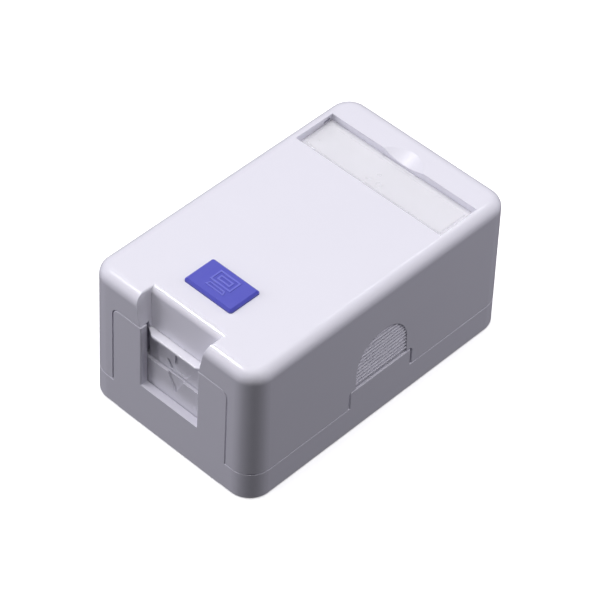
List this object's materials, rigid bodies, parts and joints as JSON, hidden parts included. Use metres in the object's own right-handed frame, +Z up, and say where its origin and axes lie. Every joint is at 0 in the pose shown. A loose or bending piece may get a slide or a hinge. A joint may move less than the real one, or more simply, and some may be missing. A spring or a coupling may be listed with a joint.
{
  "type": "surface mount network outlet box",
  "caption": "Small white surface-mount network outlet box with a sliding dust shutter, lift-off cover, label window and side cable knockouts.",
  "frame": {"origin": "centre of the underside (bottom face), where the box rests on the wall or desk", "axes": "+Z up through the cover, -Y out of the port at the front, +X to the right seen from the front"},
  "size_m": [0.04, 0.065, 0.0308],
  "materials": {
    "white_base": "satin moulded ABS",
    "white_cover": "satin moulded ABS",
    "white_shutter": "satin moulded ABS",
    "icon_blue": "satin moulded blue",
    "clear_window": "clear polished plastic",
    "paper": "matt white paper",
    "screw_steel": "zinc plated",
    "jack_white": "moulded polycarbonate",
    "contact_gold": "gold plated wire",
    "carrier_black": "moulded black",
    "pcb_green": "solder mask",
    "idc_grey": "moulded polycarbonate",
    "terminal_tin": "tin plated bronze",
    "cap_clear": "frosted clear plastic",
    "label_film": "printed film, colour bars only",
    "foam_white": "closed-cell foam",
    "liner_yellow": "waxed release paper"
  },
  "bodies": {
    "base": {"base": "white_base", "jack_housing": "jack_white", "jack_contact_wires": "contact_gold", "jack_contact_carrier": "carrier_black", "jack_pcb": "pcb_green", "idc_block": "idc_grey", "idc_terminals": "terminal_tin", "wiring_label": "label_film", "adhesive_pad_front": "foam_white", "adhesive_pad_rear": "foam_white", "release_liner_front": "liner_yellow", "release_liner_rear": "liner_yellow"},
    "shutter_lower": {"shutter_lower": "white_shutter"},
    "shutter_upper": {"shutter_upper": "white_shutter"},
    "cover": {"cover": "white_cover", "cover_screw": "screw_steel"},
    "paper_label": {"paper_label": "paper"},
    "label_window": {"label_window": "clear_window"},
    "icon_insert": {"icon_insert": "icon_blue"},
    "idc_cap_left": {"idc_cap_left": "cap_clear"},
    "idc_cap_right": {"idc_cap_right": "cap_clear"}
  },
  "joints": [
    {"name": "shutter_lower_slide", "type": "slide", "parent": "base", "child": "shutter_lower", "axis": [0, 0, 1], "range_m": [-0.00575, 0]},
    {"name": "shutter_upper_slide", "type": "slide", "parent": "shutter_lower", "child": "shutter_upper", "axis": [0, 0, 1], "range_m": [-0.0062, 0]},
    {"name": "cover_lift", "type": "slide", "parent": "base", "child": "cover", "axis": [0, 0, 1], "range_m": [0, 0.035]},
    {"name": "paper_label_lift", "type": "slide", "parent": "cover", "child": "paper_label", "axis": [0, 0, 1], "range_m": [0, 0.008]},
    {"name": "label_window_lift", "type": "slide", "parent": "paper_label", "child": "label_window", "axis": [0, 0, 1], "range_m": [0, 0.012]},
    {"name": "icon_insert_lift", "type": "slide", "parent": "cover", "child": "icon_insert", "axis": [0, 0, 1], "range_m": [0, 0.006]},
    {"name": "idc_cap_left_lift", "type": "slide", "parent": "base", "child": "idc_cap_left", "axis": [0, 0, 1], "range_m": [0, 0.0045]},
    {"name": "idc_cap_right_lift", "type": "slide", "parent": "base", "child": "idc_cap_right", "axis": [0, 0, 1], "range_m": [0, 0.0045]}
  ]
}
